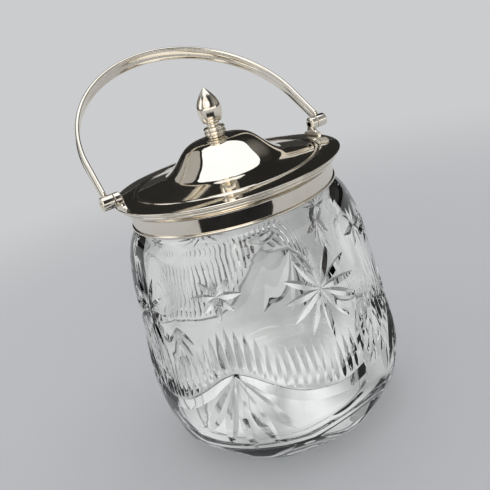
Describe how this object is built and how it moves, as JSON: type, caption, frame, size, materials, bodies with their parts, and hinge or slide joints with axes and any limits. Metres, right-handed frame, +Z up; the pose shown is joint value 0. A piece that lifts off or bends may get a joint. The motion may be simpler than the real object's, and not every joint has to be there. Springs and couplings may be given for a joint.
{
  "type": "biscuit jar",
  "caption": "Cut-glass jar with rounded square sides, a silver-plated collar, a lift-off domed lid with a finial and a swing bail handle.",
  "frame": {"origin": "middle of the foot of the glass, on the surface it stands on", "axes": "+Z up, +X along the bail's pivot axis, -Y towards the front face; the bail leans back towards +Y"},
  "size_m": [0.136, 0.1328, 0.2098],
  "materials": {
    "glass": "clear, polished and cut",
    "silver": "polished silver plate",
    "plaster": "matt bedding plaster",
    "nickel": "plain nickel silver"
  },
  "bodies": {
    "jar": {"glass_body": "glass", "plaster_bedding": "plaster", "collar_band": "silver", "collar_bead": "silver", "collar_moulding": "silver", "collar_rim": "silver", "hinge_lug_left": "silver", "hinge_lug_right": "silver", "hinge_pin_left": "nickel", "hinge_pin_right": "nickel"},
    "bail": {"bail_handle": "silver", "bail_knuckle_left": "silver", "bail_knuckle_right": "silver"},
    "lid": {"lid_dome": "silver", "lid_wire": "silver", "lid_skirt": "silver", "finial_knop": "silver", "finial_bud": "silver", "finial_stud": "nickel", "finial_washer": "nickel", "finial_nut": "nickel"}
  },
  "joints": [
    {"name": "bail_swing", "type": "hinge", "parent": "jar", "child": "bail", "pos_m": [0, 0, 0.1505], "axis": [1, 0, 0], "range_deg": [-77.2, 174.8]},
    {"name": "lid_lift", "type": "slide", "parent": "jar", "child": "lid", "axis": [0, 0, 1], "range_m": [0, 0.038]}
  ]
}
